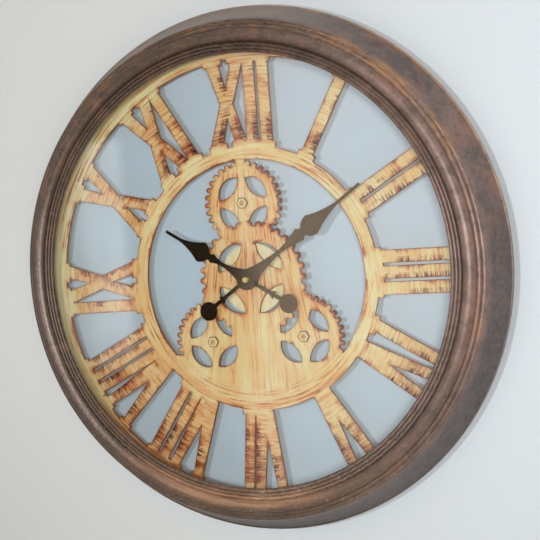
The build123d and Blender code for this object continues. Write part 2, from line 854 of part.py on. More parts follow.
# Stator plate on its posts, with the coil on its core
with BuildPart() as stator:
    with BuildSketch(movement_plane(stator_back)):
        with Locations(((stator_left + stator_right) / 2, core_level)):
            Rectangle(stator_right - stator_left, core_width)
        with Locations((rotor_place[0], (rotor_place[1] - stator_margin + core_level) / 2)):
            Rectangle(2 * stator_margin, core_level - rotor_place[1] + stator_margin)
        with Locations(rotor_place):
            Circle(rotor_radius + stator_clearance, mode=Mode.SUBTRACT)
    extrude(amount=stator_thickness)
write(stator, "stator")

coil_start = (stator_right + rotor_place[0] + stator_margin - coil_length) / 2
with BuildPart() as coil:
    with BuildSketch(side_plane(coil_start, stator_back + stator_thickness / 2, core_level)):
        Circle(coil_radius)
        Rectangle(stator_thickness + hole_clearance, core_width + hole_clearance, mode=Mode.SUBTRACT)
    extrude(amount=coil_length)
write(coil, "coil")

with BuildPart() as circuit_board:
    with BuildSketch(movement_plane(cavity_front - board_thickness)):
        with Locations(((cavity_width - board_size[0]) / 2 - hole_clearance, -board_size[1] / 2)):
            Rectangle(*board_size)
    extrude(amount=board_thickness)
write(circuit_board, "circuit_board")

# Battery and its contacts
with BuildPart() as battery:
    with BuildSketch(side_plane(battery_start, battery_depth, battery_level)):
        Circle(battery_radius)
    extrude(amount=battery_length - battery_nub)
    with BuildSketch(side_plane(battery_end - battery_nub, battery_depth, battery_level)):
        Circle(battery_nub_radius)
    extrude(amount=battery_nub)
write(battery, "battery")

with BuildPart() as battery_contacts:
    with BuildSketch(side_plane(-cavity_width / 2, battery_depth, battery_level)):
        Rectangle(contact_width, contact_width)
    extrude(amount=contact_thickness)
    with BuildSketch(side_plane(-cavity_width / 2 + contact_thickness, battery_depth, battery_level)):
        Circle(battery_nub_radius)
    extrude(amount=spring_length, taper=25)
    with BuildSketch(side_plane(battery_end, battery_depth, battery_level)):
        Rectangle(contact_width, contact_width)
    extrude(amount=contact_thickness)
write(battery_contacts, "battery_contacts")


# One side of a spade hand, from its tip down to the weight at its tail
def hand_side(outline, tail):
    tip, needle, spade, neck, collar, waist = outline
    barb, weight = tail
    stem = hand_stem / 2
    boss_edge = (hand_boss * 0.8, hand_boss * 0.6)
    Line((0, tip[1]), tip)
    Line(tip, needle)
    ThreePointArc(needle, between(needle, spade, -spade_hollow), spade)
    ThreePointArc(spade, between(spade, neck, spade_bulge), neck)
    ThreePointArc(neck, between(neck, collar, -neck_hollow), collar)
    ThreePointArc(collar, between(collar, waist, -blade_hollow), waist)
    ThreePointArc(waist, between(waist, boss_edge, -blade_hollow), boss_edge)
    Polyline(
        boss_edge,
        (stem, 0),
        (stem, barb_height - barb),
        (barb_half, -barb),
        (stem, -barb),
        (stem, -weight),
        (0, -weight),
    )


# A point halfway along an edge of a hand, moved out by a bulge
def between(start, end, bulge):
    return ((start[0] + end[0]) / 2 + bulge, (start[1] + end[1]) / 2)


# Hour hand, pressed on the hour tube
with BuildPart() as hour_hand:
    with BuildSketch(hand_plane(hour_hand_back, hour_time)):
        with BuildLine():
            hand_side(hour_outline, hour_tail)
            mirror(about=Plane.YZ)
        make_face()
        Circle(hand_boss)
        with Locations((0, -hour_tail[1])):
            Circle(hand_weight)
        Circle(hour_tube_radius + thread_clearance, mode=Mode.SUBTRACT)
    extrude(amount=hand_thickness)
write(hour_hand, "hour_hand")

# Minute hand, clamped on the minute arbor by the hand nut
with BuildPart() as minute_hand:
    with BuildSketch(hand_plane(minute_hand_back, minute_time)):
        with BuildLine():
            hand_side(minute_outline, minute_tail)
            mirror(about=Plane.YZ)
        make_face()
        Circle(hand_boss)
        with Locations((0, -minute_tail[1])):
            Circle(hand_weight)
    extrude(amount=hand_thickness)
    with BuildSketch(hand_plane(minute_hand_front, minute_time)):
        Circle(hand_cap_radius)
    extrude(amount=hand_boss_rise)
    with BuildSketch(hand_plane(minute_hand_back, minute_time)):
        Circle(minute_radius + thread_clearance)
    extrude(amount=hand_thickness + hand_boss_rise, mode=Mode.SUBTRACT)
write(minute_hand, "minute_hand")

# Hand nut with a domed end
with BuildPart() as hand_nut:
    with BuildSketch(movement_plane(minute_hand_front + hand_boss_rise)):
        Circle(hand_nut_radius)
        Circle(minute_radius + thread_clearance, mode=Mode.SUBTRACT)
    extrude(amount=hand_nut_height)
    with BuildSketch(movement_plane(minute_hand_front + hand_boss_rise + hand_nut_height)):
        Circle(hand_nut_radius)
    extrude(amount=hand_nut_dome, taper=40)
write(hand_nut, "hand_nut")
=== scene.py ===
import bpy
import math
import numpy as np
from functools import reduce
from mathutils import Matrix, Vector, geometry


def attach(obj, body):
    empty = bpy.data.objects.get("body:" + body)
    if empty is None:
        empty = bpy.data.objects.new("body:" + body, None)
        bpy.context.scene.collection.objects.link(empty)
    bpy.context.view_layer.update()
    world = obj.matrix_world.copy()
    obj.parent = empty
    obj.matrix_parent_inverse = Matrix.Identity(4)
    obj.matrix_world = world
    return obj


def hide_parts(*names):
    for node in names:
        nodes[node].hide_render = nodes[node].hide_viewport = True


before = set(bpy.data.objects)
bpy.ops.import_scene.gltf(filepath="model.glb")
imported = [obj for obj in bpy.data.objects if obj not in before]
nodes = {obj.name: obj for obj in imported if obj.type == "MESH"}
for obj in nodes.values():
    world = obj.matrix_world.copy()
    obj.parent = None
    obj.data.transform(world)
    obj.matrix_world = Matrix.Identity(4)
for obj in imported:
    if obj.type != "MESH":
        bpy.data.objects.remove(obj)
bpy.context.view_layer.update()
scene = bpy.context.scene
mm = 0.001
print("frame loaded:", len(nodes), "nodes")


# Small helpers

def shade(red, green, blue):
    # an sRGB colour, 0 to 255, as linear RGBA
    part = np.array([red, green, blue]) / 255
    low = part / 12.92
    high = ((part + 0.055) / 1.055) ** 2.4
    return (*np.where(part <= 0.04045, low, high).tolist(), 1.0)


def clockPoint(radius, angle):
    # a point on the dial, from a radius and an angle clockwise from twelve
    turn = math.radians(angle)
    return radius * math.sin(turn), radius * math.cos(turn)


class Wire:
    # one socket of a material; arithmetic on it adds Math nodes
    def __init__(self, tree, socket=None):
        self.tree = tree
        self.socket = socket

    def node(self, kind, settings=None, inputs=None, out=0):
        made = self.tree.nodes.new(kind)
        for name, value in (settings or {}).items():
            setattr(made, name, value)
        for name, value in (inputs or {}).items():
            if isinstance(value, Wire):
                self.tree.links.new(value.socket, made.inputs[name])
            else:
                made.inputs[name].default_value = value
        return Wire(self.tree, made.outputs[out])

    def maths(self, operation, first, second=0.0):
        return self.node("ShaderNodeMath", {"operation": operation}, {0: first, 1: second})

    def __add__(self, other):
        return self.maths("ADD", self, other)

    def __radd__(self, other):
        return self.maths("ADD", other, self)

    def __sub__(self, other):
        return self.maths("SUBTRACT", self, other)

    def __rsub__(self, other):
        return self.maths("SUBTRACT", other, self)

    def __mul__(self, other):
        return self.maths("MULTIPLY", self, other)

    def __rmul__(self, other):
        return self.maths("MULTIPLY", other, self)

    def __truediv__(self, other):
        return self.maths("DIVIDE", self, other)

    def __rtruediv__(self, other):
        return self.maths("DIVIDE", other, self)

    def __pow__(self, other):
        return self.maths("POWER", self, other)

    def atLeast(self, other):
        return self.maths("MAXIMUM", self, other)

    def atMost(self, other):
        return self.maths("MINIMUM", self, other)

    def above(self, low, high):
        # 0 up to low, 1 from high on, smooth between; low may be the larger
        return self.node("ShaderNodeMapRange", {"interpolation_type": "SMOOTHSTEP"},
                         {"Value": self, "From Min": low, "From Max": high})

    def near(self, place, width):
        # a soft bump of height 1 round a place
        away = (self - place) / width
        return 1 / (1 + away * away * away * away)


def newFinish(name, fixed):
    # a material whose fixed values sit on the shader's own sockets
    made = bpy.data.materials.new(name)
    made.use_nodes = True
    shader = made.node_tree.nodes["Principled BSDF"]
    for socket, value in fixed.items():
        shader.inputs[socket].default_value = value
    return made, Wire(made.node_tree), shader


def feed(wire, node, socket):
    wire.tree.links.new(wire.socket, node.inputs[socket])


def split(w, where):
    # the three parts of a vector
    parts = w.node("ShaderNodeSeparateXYZ", inputs={0: where}).socket.node.outputs
    return [Wire(w.tree, part) for part in parts]


def place(w):
    # object coordinates, which are the clock's own frame in metres
    return split(w, w.node("ShaderNodeTexCoord", out="Object"))


def vector(w, x, y, z):
    return w.node("ShaderNodeCombineXYZ", inputs={0: x, 1: y, 2: z})


def span(x, z):
    # length of a step of x and z
    return (x * x + z * z) ** 0.5


def noise(w, where, scale=1.0, detail=4.0, rough=0.55, lean=0.0):
    return w.node("ShaderNodeTexNoise", {"noise_dimensions": "3D"},
                  {"Vector": where, "Scale": scale, "Detail": detail, "Roughness": rough, "Distortion": lean})


def ringed(w, dirX, across, dirZ, turns, rate, *more):
    # a noise drawn out round the clock's axis
    return noise(w, vector(w, dirX * turns, across * rate, dirZ * turns), 1.0, *more)


def mix(w, share, first, second):
    return w.node("ShaderNodeMix", {"data_type": "RGBA"}, {0: share, 6: first, 7: second}, out=2)


def bump(w, height, strength, depth):
    return w.node("ShaderNodeBump", inputs={"Strength": strength, "Distance": depth, "Height": height})


def ray(w, kind):
    return w.node("ShaderNodeLightPath", out=kind)


def mixShaders(w, share, first, second):
    return w.node("ShaderNodeMixShader", inputs={0: share, 1: first, 2: second})


def showInstead(made, wire):
    # what the material shows in place of its plain shader
    feed(wire, made.node_tree.nodes["Material Output"], "Surface")


def dress(material, *names):
    for name in names:
        slots = nodes[name].data.materials
        slots.clear()
        slots.append(material)


def meshOf(name, points, triangles):
    # a mesh from whole arrays of points and triangles
    made = bpy.data.meshes.new(name)
    made.vertices.add(len(points))
    made.vertices.foreach_set("co", np.ascontiguousarray(points, np.float32).ravel())
    made.loops.add(triangles.size)
    made.loops.foreach_set("vertex_index", np.ascontiguousarray(triangles, np.int32).ravel())
    made.polygons.add(len(triangles))
    made.polygons.foreach_set("loop_start", np.arange(0, triangles.size, 3, dtype=np.int32))
    made.update()
    made.validate()
    return made


def piece(name, mesh, material, body):
    made = bpy.data.objects.new(name, mesh)
    scene.collection.objects.link(made)
    mesh.materials.append(material)
    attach(made, body)
    return made


# Camera, at the photograph's place

camera = {
    "stand": (0.5583, -1.2395, 0.0648),
    "aim": (0.0231, -0.0270, -0.0001),
    "roll": -4.0595,
    "lens": 76.92,
    "sensor": 36.0,
}


def makeCamera():
    stand = Vector(camera["stand"])
    sight = (Vector(camera["aim"]) - stand).normalized()
    across = sight.cross(Vector((0, 0, 1))).normalized()
    up = across.cross(sight)
    turn = math.radians(camera["roll"])
    right = across * math.cos(turn) + up * math.sin(turn)
    top = up * math.cos(turn) - across * math.sin(turn)
    data = bpy.data.cameras.new("camera")
    data.lens = camera["lens"]
    data.sensor_width = camera["sensor"]
    made = bpy.data.objects.new("camera", data)
    rows = Matrix((right, top, -sight)).transposed().to_4x4()
    made.matrix_world = Matrix.Translation(stand) @ rows
    scene.collection.objects.link(made)
    scene.camera = made


makeCamera()
scene.view_settings.view_transform = "Standard"


# Wall, floor and light

studio = {
    "wall": (shade(233, 232, 228), shade(227, 232, 236)),       # left and right of the clock
    "wallFrom": (-0.3, 0.3),
    "lowWallShade": shade(196, 198, 197),                            # painted shade, darker downwards
    "lowFrom": (0.05, -0.4),
    "lowShare": 0.35,
    "glassShade": (shade(201, 217, 226), shade(212, 223, 230)),       # painted shade behind the glass, darker and bluer, left and right
    "coolFrom": (-0.1, 0.2),
    "coolSlope": 0.5,
    "coolEdge": (0.35, 0.25),
    "floor": (shade(230, 231, 232), shade(230, 231, 232)),
    "mottle": (2.2, 3.0),
    "mottleFrom": (0.3, 0.75),
    "mottleShare": 0.06,
    "mottleTint": (0.6, 0.64, 0.7, 1.0),
    "wallPlace": 0.0006,                # just behind the felt pads
    "wallTop": 3.0,
    "reach": 4.0,                       # how far wall and floor run from the clock
    "floorLevel": -0.75,
    "sky": (0.98, 0.98, 0.96),
    "skyLevel": 0.28,
    "skyTurn": (-0.11, 0.0, 0.06),      # brighter from the left and above
    "skyLeast": 0.05,
    "backdrop": (0.80, 0.82, 0.84, 1.0),
}
card = {  # what the hands and the glass mirror
    "place": -1.9,
    "sides": (-2.2, 1.2),
    "height": 1.6,
    "brightEdge": (-0.95, -0.78),       # from dark at the left to bright in front
    "paleEdge": (-1.21, -1.27),         # right end of the pale patch at the far left
    "paleEnd": (-1.42, -1.34),          # its left end
    "paleFoot": (-0.42, -0.22),
    "paleTop": (0.34, 0.3),
    "folds": (3.2, 2.0, 0.4),
    "foldsFrom": (0.4, 0.6),
    "brightLevel": 0.9,
    "darkLevel": 0.03,
    "paleLevel": 2.3,
}
lamps = {
    "key": {
        "place": (0.23, -1.3, 0.07), "size": (0.045, 0.045),
        "power": 4.8, "colour": (0.93, 0.97, 1.0)},
    "fill": {
        "place": (0.8, -1.75, 0.1), "size": (0.28, 0.28),
        "power": 14.5, "colour": (1.0, 0.985, 0.965)},
    "rear": {
        "place": (0.4, 1.9, 0.8), "size": (1.2, 1.2),
        "power": 12.0, "colour": (1.0, 0.98, 0.96)},
}


def oneSided(name, colours, glassShade=None):
    # pale paint, darker downwards and darker and bluer behind the glass, both painted shade; it is clear from
    # behind and lets lamp light pass
    made, w, shader = newFinish(name, {"Roughness": 0.9, "Specular IOR Level": 0.1})
    x, y, z = place(w)
    mottle = noise(w, vector(w, x, y, z), *studio["mottle"])
    colour = mix(w, x.above(*studio["wallFrom"]), *colours)
    # painted shade: wall and floor darker downwards
    colour = mix(w, z.above(*studio["lowFrom"]) * studio["lowShare"], colour, studio["lowWallShade"])
    # painted shade behind the glass: darker and bluer, darker still to the left and low
    if glassShade:
        middle = mix(w, (x + studio["coolSlope"] * z).above(*studio["coolFrom"]), *glassShade)
        colour = mix(w, span(x, z).above(*studio["coolEdge"]), colour, middle)
    spots = mottle.above(*studio["mottleFrom"]) * studio["mottleShare"]
    feed(mix(w, spots, colour, studio["mottleTint"]), shader, "Base Color")
    behind = w.node("ShaderNodeNewGeometry", out="Backfacing")
    passed = ray(w, "Is Shadow Ray").atLeast(behind)
    clear = w.node("ShaderNodeBsdfTransparent")
    showInstead(made, mixShaders(w, passed, Wire(w.tree, shader.outputs[0]), clear))
    return made


def stagePlane(name, corners, material):
    mesh = bpy.data.meshes.new(name)
    mesh.from_pydata(corners, [], [(0, 1, 2, 3)])
    mesh.materials.append(material)
    made = bpy.data.objects.new(name, mesh)
    scene.collection.objects.link(made)
    return made


def reflectorPaint():
    # bright in front, dark at the left, pale at the far left, and only for mirrored rays
    made, w, shader = newFinish("reflector_paint", {"Base Color": (0, 0, 0, 1), "Emission Strength": 1.0})
    x, y, z = place(w)
    folds = noise(w, vector(w, x, 0.0, z * 0.5), *card["folds"])
    bright = x.above(*card["brightEdge"]) * (0.75 + 0.5 * folds)
    pale = x.above(*card["paleEdge"]) * z.above(*card["paleFoot"]) * z.above(*card["paleTop"])
    pale = pale * (0.25 + 0.75 * x.above(*card["paleEnd"])) * (0.7 + 0.3 * folds.above(*card["foldsFrom"]))
    level = card["darkLevel"] + card["brightLevel"] * bright + card["paleLevel"] * pale
    feed(w.node("ShaderNodeCombineColor", inputs={0: level, 1: level, 2: level}), shader, "Emission Color")
    mirrored = ray(w, "Glossy Depth").atMost(1.0)
    clear = w.node("ShaderNodeBsdfTransparent")
    showInstead(made, mixShaders(w, mirrored, clear, Wire(w.tree, shader.outputs[0])))
    made.cycles.emission_sampling = "NONE"
    return made


def makeSky():
    # soft light from all round, stronger from the left and above; the eye and mirrors see a plain pale tone
    world = bpy.data.worlds.new("studio")
    world.use_nodes = True
    w = Wire(world.node_tree)
    level = studio["skyLevel"]
    for share, part in zip(studio["skyTurn"], split(w, w.node("ShaderNodeTexCoord", out="Generated"))):
        level = level + share * part
    level = level.atLeast(studio["skyLeast"])
    seen = ray(w, "Is Camera Ray").atLeast(ray(w, "Is Glossy Ray")).atLeast(ray(w, "Is Transmission Ray"))
    seen = seen * (1 - ray(w, "Diffuse Depth").atMost(1.0))
    tint = w.node("ShaderNodeVectorMath", {"operation": "SCALE"}, {0: studio["sky"], "Scale": level})
    feed(mix(w, seen, tint, studio["backdrop"]), world.node_tree.nodes["Background"], "Color")
    scene.world = world


def makeStudio():
    back, low, top, far = (studio[key] for key in ("wallPlace", "floorLevel", "wallTop", "reach"))
    stagePlane("wall", [(-far, back, low), (far, back, low), (far, back, top), (-far, back, top)],
               oneSided("wall_paint", studio["wall"], studio["glassShade"]))
    stagePlane("floor", [(-far, -far, low), (far, -far, low), (far, far, low), (-far, far, low)],
               oneSided("floor_paint", studio["floor"]))
    front, (left, right), high = card["place"], card["sides"], card["height"]
    made = stagePlane("reflector",
                      [(left, front, -high), (left, front, high), (right, front, high), (right, front, -high)],
                      reflectorPaint())
    made.visible_camera = made.visible_diffuse = made.visible_shadow = False
    makeSky()
    # The lamps leave out the glass, so that it doesn't mirror them as white squares
    spared = bpy.data.collections.new("spared_by_lamps")
    spared.objects.link(nodes["glass"])
    spared.collection_objects[0].light_linking.link_state = "EXCLUDE"
    for name, lamp in lamps.items():
        data = bpy.data.lights.new(name, "AREA")
        data.shape = "RECTANGLE"
        data.size, data.size_y = lamp["size"]
        data.energy = lamp["power"]
        data.color = lamp["colour"]
        made = bpy.data.objects.new(name, data)
        spot = Vector(lamp["place"])
        made.matrix_world = Matrix.Translation(spot) @ (-spot).to_track_quat("-Z", "Y").to_matrix().to_4x4()
        made.visible_camera = made.visible_transmission = False
        made.light_linking.receiver_collection = spared
        scene.collection.objects.link(made)


makeStudio()
print("camera, wall and lamps set")


# Dial plate: the CAD outline filled with a fine net, so that the paint can follow the cut edges

dial = {
    "axis": -9.0 * mm,
    "front": -27.0 * mm,
    "back": -24.0 * mm,
    "pitch": 2.3 * mm,          # of the net
    "clear": 0.5,               # share of the pitch that the net keeps from the outline
    "reach": 18.0 * mm,         # largest distance to an edge that counts
    "flat": 5e-6,               # how level the CAD front is
    "cadGrain": 2e-6,           # CAD points closer than this are one
    "grain": 1e-6,              # the same for the net
    "fillGap": 1e-5,            # the same for the fill, in mm
    "tiny": 1e-9,               # keeps a division safe
    "group": 200,               # points compared with edges at a time
}
gears = {  # centre on the dial, root and tip radius
    "top": (clockPoint(88.0 * mm, -3.2), 43.6 * mm, 49.0 * mm),
    "lowLeft": (clockPoint(91.2 * mm, 217.3), 43.6 * mm, 49.0 * mm),
    "lowRight": (clockPoint(91.2 * mm, 138.7), 43.6 * mm, 49.0 * mm),
    "large": ((0.0, 0.0), 61.6 * mm, 67.0 * mm),
}


def rimOf(triangles):
    # edges that only one triangle has, each in its triangle's direction
    edges = np.concatenate([triangles[:, [0, 1]], triangles[:, [1, 2]], triangles[:, [2, 0]]])
    first, count = np.unique(np.sort(edges, axis=1), axis=0, return_index=True, return_counts=True)[1:]
    return edges[first[count == 1]]


def merged(points, step):
    # points on a fine lattice, each place once, and the number of each given point's place
    keys, index = np.unique(np.round(points / step).astype(np.int64), axis=0, return_inverse=True)
    return keys * step, index.reshape(-1)


def dialOutline():
    # start and end of each rim edge of the CAD plate's front face
    mesh = nodes["dial_plate"].data
    mesh.calc_loop_triangles()
    points = np.empty(len(mesh.vertices) * 3)
    mesh.vertices.foreach_get("co", points)
    points = points.reshape(-1, 3)
    corners = np.empty(len(mesh.loop_triangles) * 3, np.int32)
    mesh.loop_triangles.foreach_get("vertices", corners)
    corners = corners.reshape(-1, 3)
    front = np.all(np.abs(points[corners][:, :, 1] - dial["front"]) < dial["flat"], axis=1)
    flat, index = merged(points[:, [0, 2]], dial["cadGrain"])
    rim = rimOf(index[corners[front]])
    return flat[rim[:, 0]], flat[rim[:, 1]]


def splitEdges(start, end, longest):
    # each edge cut into equal lengths that are no longer than longest
    count = np.maximum(1, np.ceil(np.linalg.norm(end - start, axis=1) / longest).astype(int))
    owner = np.repeat(np.arange(len(count)), count)
    step = np.arange(len(owner)) - np.repeat(np.cumsum(count) - count, count)
    share = (step / count[owner])[:, None]
    more = ((step + 1) / count[owner])[:, None]
    run = end - start
    return start[owner] + run[owner] * share, start[owner] + run[owner] * more


def bands(points, start, end, reach):
    # points in groups of like height, each with the edges that come within reach of those heights
    low = np.minimum(start[:, 1], end[:, 1]) - reach
    high = np.maximum(start[:, 1], end[:, 1]) + reach
    order = np.argsort(points[:, 1], kind="stable")
    for group in np.array_split(order, len(order) // dial["group"] + 1):
        heights = points[group, 1]
        yield group, np.flatnonzero((low <= heights.max()) & (high >= heights.min()))


def insideOf(points, start, end):
    # even-odd rule: how many edges a ray to the right crosses
    inside = np.zeros(len(points), bool)
    for group, close in bands(points, start, end, 0.0):
        p, a, b = points[group], start[close], end[close]
        over = (a[:, 1] > p[:, 1:2]) != (b[:, 1] > p[:, 1:2])
        rise = np.where(b[:, 1] == a[:, 1], 1.0, b[:, 1] - a[:, 1])
        cross = a[:, 0] + (p[:, 1:2] - a[:, 1]) * (b[:, 0] - a[:, 0]) / rise
        inside[group] = (np.sum(over & (cross > p[:, :1]), axis=1) % 2) == 1
    return inside


def nearestEdge(points, start, end):
    # distance from each point to the nearest edge, up to the reach, and which edge that is
    far = np.full(len(points), dial["reach"])
    which = np.zeros(len(points), int)
    for group, close in bands(points, start, end, dial["reach"]):
        if not len(close):
            continue
        p, a, run = points[group], start[close], end[close] - start[close]
        size = np.maximum(np.sum(run * run, axis=1), dial["tiny"] ** 2)
        dx = p[:, :1] - a[:, 0]
        dz = p[:, 1:2] - a[:, 1]
        t = np.clip((dx * run[:, 0] + dz * run[:, 1]) / size, 0, 1)
        gap = (dx - t * run[:, 0]) ** 2 + (dz - t * run[:, 1]) ** 2
        pick = np.argmin(gap, axis=1)
        which[group] = close[pick]
        far[group] = np.minimum(np.sqrt(gap[np.arange(len(p)), pick]), dial["reach"])
    return far, which


def dialNet():
    # points of a triangular net inside the outline, joined with the outline by a Delaunay fill
    pitch = dial["pitch"]
    start, end = splitEdges(*dialOutline(), pitch)
    low, high = start.min(axis=0), start.max(axis=0)
    rows = np.arange(low[1], high[1], pitch * math.sqrt(0.75))
    across = np.arange(low[0], high[0], pitch)
    gridX = across[None, :] + (np.arange(len(rows)) % 2)[:, None] * pitch / 2
    grid = np.stack([gridX, np.broadcast_to(rows[:, None], gridX.shape)], axis=-1).reshape(-1, 2)
    grid = grid[insideOf(grid, start, end)]
    grid = grid[nearestEdge(grid, start, end)[0] > dial["clear"] * pitch]
    rim, index = merged(np.concatenate([start, end]), dial["grain"])
    edges = np.stack([index[:len(start)], index[len(start):]], axis=1)
    edges = edges[edges[:, 0] != edges[:, 1]]
    known = [Vector(p) for p in (np.concatenate([rim, grid]) / mm).tolist()]
    made = geometry.delaunay_2d_cdt(known, edges.tolist(), [], 0, dial["fillGap"])
    points = np.array([tuple(p) for p in made[0]]) * mm
    triangles = np.array(made[2])
    # Triangles with all corners on the outline may span a cut-out
    onRim = nearestEdge(points, start, end)[0] < dial["grain"]
    unsure = np.all(onRim[triangles], axis=1)
    keep = ~unsure
    keep[unsure] = insideOf(points[triangles[unsure]].mean(axis=1), start, end)
    return points, triangles[keep], start, end


def unit(rows):
    return rows / np.maximum(np.linalg.norm(rows, axis=1), dial["tiny"])[:, None]


def makeDial(material):
    # the net at the front and back levels, with walls between along its rim
    points, triangles, start, end = dialNet()
    a, b, c = (points[triangles[:, i]] for i in range(3))
    area = (b[:, 0] - a[:, 0]) * (c[:, 1] - a[:, 1]) - (b[:, 1] - a[:, 1]) * (c[:, 0] - a[:, 0])
    triangles[area < 0] = triangles[area < 0][:, ::-1]      # counter-clockwise from -Y, so they face the front
    used, packed = np.unique(triangles, return_inverse=True)
    points, triangles = points[used], packed.reshape(-1, 3)
    rim = rimOf(triangles)
    total = len(points)
    walls = np.concatenate([
        np.stack([rim[:, 1], rim[:, 0], rim[:, 0] + total], axis=1),
        np.stack([rim[:, 1], rim[:, 0] + total, rim[:, 1] + total], axis=1),
    ])
    faces = np.concatenate([triangles, triangles[:, ::-1] + total, walls])
    levels = np.repeat([dial["front"], dial["back"]], total)
    both = np.concatenate([points, points])
    mesh = meshOf("dial_face", np.stack([both[:, 0], levels, both[:, 1]], axis=1), faces)
    # For the paint: how far each point is from a cut, and how far clockwise that cut faces
    far, which = nearestEdge(points, start, end)
    run = end[which] - start[which]
    out = unit(np.stack([run[:, 1], -run[:, 0]], axis=1))
    spoke = unit(points - np.array([0.0, dial["axis"]]))
    lean = out[:, 0] * spoke[:, 1] - out[:, 1] * spoke[:, 0]
    for name, values in (("edgeDistance", far), ("edgeLean", lean)):
        layer = mesh.attributes.new(name, "FLOAT", "POINT")
        layer.data.foreach_set("value", np.concatenate([values, values]).astype(np.float32))
    made = piece("dial_face", mesh, material, "clock")
    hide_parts("dial_plate")
    print("dial:", len(points), "points,", len(faces), "triangles, outline lengths", len(rim))


wood = {
    "cream": shade(247, 228, 170),
    "honey": shade(243, 209, 142),
    "tan": shade(242, 174, 106),
    "amber": shade(220, 128, 68),
    "rust": shade(172, 80, 38),
    "burnt": shade(106, 46, 24),
    "char": shade(44, 22, 14),
    # painted light: the pale green of the margin under cool light
    "paintedCoolLight": shade(245, 238, 178),
    "board": (shade(168, 130, 90), shade(190, 152, 108)),
    "cutSide": shade(122, 78, 46),
    # Places on the dial
    "ringFrom": (122 * mm, 140 * mm),       # upright grain inside, round grain outside
    "ringWobble": 20 * mm,
    "numeralsFrom": (155 * mm, 163 * mm),
    "numeralsTo": (236 * mm, 246 * mm),
    "outerEnds": (186 * mm, 226 * mm),      # scorched on the low numerals
    "innerEnds": (198 * mm, 166 * mm),      # scorched on the high numerals
    "lowNumerals": (-50 * mm, -130 * mm),
    "highNumerals": (80 * mm, 150 * mm),
    "marginFrom": (240 * mm, 252 * mm),
    "rustyMargin": (-20 * mm, -120 * mm),
    "paintedLightAngle": -70.0,                     # where the painted light on the margin is strongest
    "paintedLightSpread": (0.3, 0.75),
    "warmFrom": (150 * mm, 0.0),            # the numerals grow warmer from right to left
    "slope": (0.6, 0.8),                    # sideways and up: the ring is tan at its foot, calm at its top
    "ringTan": (20 * mm, -120 * mm),
    "ringCalm": (0.0, 100 * mm),
    "lowGears": (-30 * mm, -70 * mm),
    "toothRoot": 5 * mm,
    "toothEnd": (0.4 * mm, 0.9 * mm),
    "toothRight": (-0.5, 0.7),
    "skin": (0.1 * mm, 0.4 * mm),           # depth from paint to bare side
    "fanFrom": 0.3,                         # height of the point that the upright grain runs towards
    "fanSpread": 0.25,
    "rough": (0.5, 0.2),                    # least, and more on the grain
    "relief": (0.2, 0.3 * mm),
}
grain = {
    # scale, detail, roughness
    "cloud": (17.0, 3.0),
    "blotch": (46.0, 4.0, 0.6),
    "drift": (32.0, 3.0, 0.55),
    "fibre": (420.0, 3.0, 0.6),
    # rate across and along the upright grain, level in the noise, detail, roughness, distortion
    "fineUpright": (420.0, 15.0, 0.0, 3.0, 0.6, 0.3),
    "broadUpright": (130.0, 10.0, 0.5, 3.0, 0.55, 0.3),
    # rate round and across the ring, detail, roughness, distortion
    "fineRing": (3.0, 400.0, 3.0, 0.6, 0.3),
    "broadRing": (3.4, 110.0, 3.0, 0.55, 0.4),
    "plank": (5.0, 40.0, 2.0, 0.5),
    "hatch": (10.0, 400.0, 2.0, 0.6, 0.6),
    "gash": (9.0, 400.0, 3.0, 0.6, 0.35),
    "driftLevel": 0.3,
}
scorch = {
    # how far a mark reaches from a cut, in mm, and how much more where the wood is blotched
    "stain": (1.4, 8.0),
    "deep": (1.6, 13.0),
    "cut": (1.0, 12.0),
    "cutStart": 0.2,
    "singe": 0.7,                           # share of the stain's reach
    # distances from a cut, in mm, between which a mark fades
    "tooth": (2.5, 6.0),
    "toothChar": (0.8, 4.0),
    "line": (0.1, 0.9),
    # noise values between which a mark comes in
    "honeyCloud": (0.36, 0.64),
    "warmDrift": (0.4, 0.6),
    "hotDrift": (0.47, 0.6),
    "rustyBlotch": (0.42, 0.58),
    "rustyFine": (0.42, 0.58),
    "tanBroad": (0.46, 0.64),
    "amberBroad": (0.42, 0.56),
    "amberFine": (0.49, 0.6),
    "rustFine": (0.55, 0.64),
    "stainBlotch": (0.46, 0.68),
    "stainFine": (0.42, 0.56),
    "singeDrift": (0.45, 0.57),
    "singeFine": (0.44, 0.56),
    "toothDrift": (0.36, 0.6),
    "charDrift": (0.42, 0.56),
    "burntDrift": (0.41, 0.53),
    "amberPlank": (0.54, 0.58),
    "amberHatch": (0.5, 0.58),
    "rustHatch": (0.58, 0.66),
    "endBlotch": (0.37, 0.53),
    "endHatch": (0.42, 0.54),
    "sideLean": (-0.2, 0.5),
    "deepPatch": (0.47, 0.6),
    "deepHatch": (0.44, 0.54),
    "cutSpots": (0.5, 0.6),
    "burntGash": (0.47, 0.55),
    "charGash": (0.57, 0.63),
    "lineDrift": (0.38, 0.6),
    "boardFibre": (0.4, 0.6),
}


